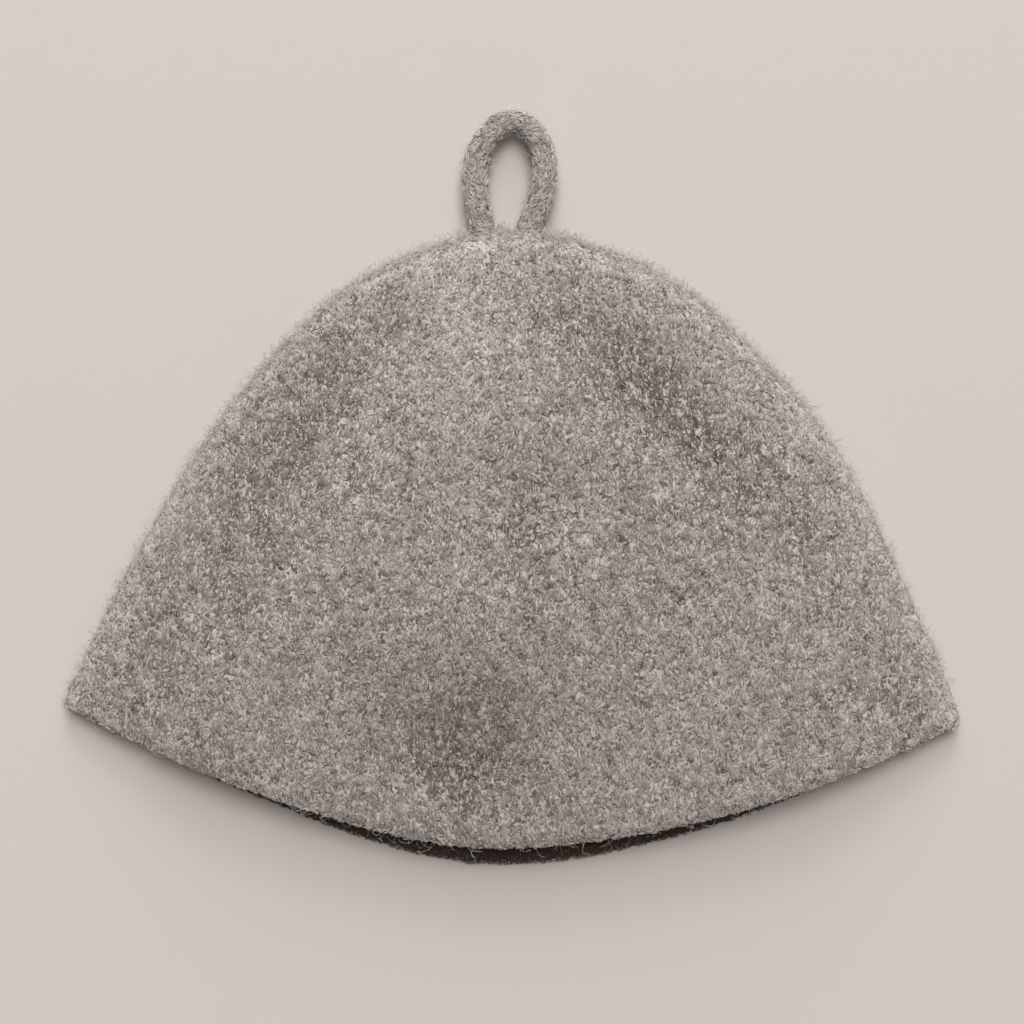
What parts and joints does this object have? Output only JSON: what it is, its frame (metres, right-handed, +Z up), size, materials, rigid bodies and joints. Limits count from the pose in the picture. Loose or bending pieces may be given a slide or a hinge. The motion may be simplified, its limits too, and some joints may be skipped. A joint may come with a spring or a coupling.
{
  "type": "sauna hat",
  "caption": "Bell-shaped hat of thick grey felted wool, lying flat on its back, with an open hem and a felted cord loop to hang it by.",
  "frame": {"origin": "on the surface that the hat lies on, under the middle of its box", "axes": "+X across the hem, towards its right corner; +Y from the hem towards the crown and its loop; +Z up, out of the back layer that lies on the surface"},
  "size_m": [0.35, 0.2944, 0.0344],
  "materials": {
    "felted_wool": "thick knitted and felted wool, grey melange, matt and slightly hairy",
    "felted_cord": "round knitted wool cord, felted, grey melange, matt and slightly hairy"
  },
  "bodies": {
    "root": {"felt_bell": "felted_wool", "hanging_loop": "felted_cord"}
  },
  "joints": []
}
